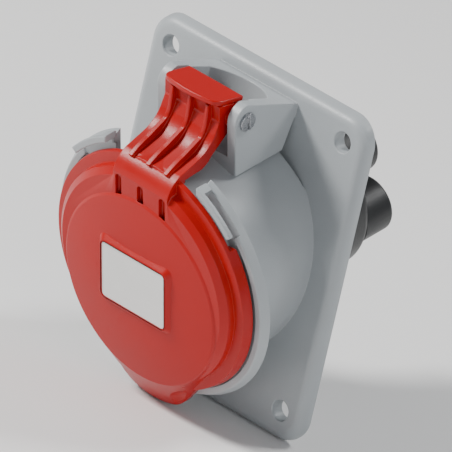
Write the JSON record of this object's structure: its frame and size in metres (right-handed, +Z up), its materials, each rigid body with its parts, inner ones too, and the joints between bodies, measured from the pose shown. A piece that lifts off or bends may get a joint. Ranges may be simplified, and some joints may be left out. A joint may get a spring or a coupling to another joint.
{
  "type": "panel mounted industrial socket",
  "caption": "Angled panel mounted industrial socket outlet with a sprung hinged lid, a screw fixing flange and round terminal towers behind.",
  "frame": {"origin": "centre of the four fixing holes on the flange's back face, which lies on the panel", "axes": "+Z up, -Y out of the panel towards the user, X across; the socket axis points 17 degrees below -Y"},
  "size_m": [0.0874, 0.0928, 0.1042],
  "materials": {
    "grey_plastic": "fine satin",
    "red_plastic": "satin",
    "dark_plastic": "matt",
    "seal_rubber": "matt",
    "steel": "zinc plated",
    "spring_steel": "bright",
    "brass": "machined",
    "label_white": "matt"
  },
  "bodies": {
    "body": {"housing": "grey_plastic", "flange_gasket": "seal_rubber", "contact_insert": "dark_plastic", "seat_seal": "seal_rubber", "retaining_ring": "dark_plastic", "terminal_base": "dark_plastic", "middle_screw": "steel", "contact_l1": "brass", "contact_l2": "brass", "contact_l3": "brass", "contact_neutral": "brass", "contact_earth": "brass", "contact_springs": "spring_steel", "terminal_screws": "steel", "hinge_pin": "steel", "pin_washer": "steel", "hinge_spring": "spring_steel"},
    "lid": {"lid": "red_plastic", "lid_seal": "seal_rubber", "label_inlay": "label_white", "thumb_plate": "red_plastic"}
  },
  "joints": [
    {"name": "lid_hinge", "type": "hinge", "parent": "body", "child": "lid", "pos_m": [0, -0.02558, 0.04463], "axis": [-1, 0, 0], "range_deg": [0, 115], "stiffness_Nm_per_rad": 0.03, "springref_deg": -34.38, "deforming": ["hinge_spring"]}
  ]
}
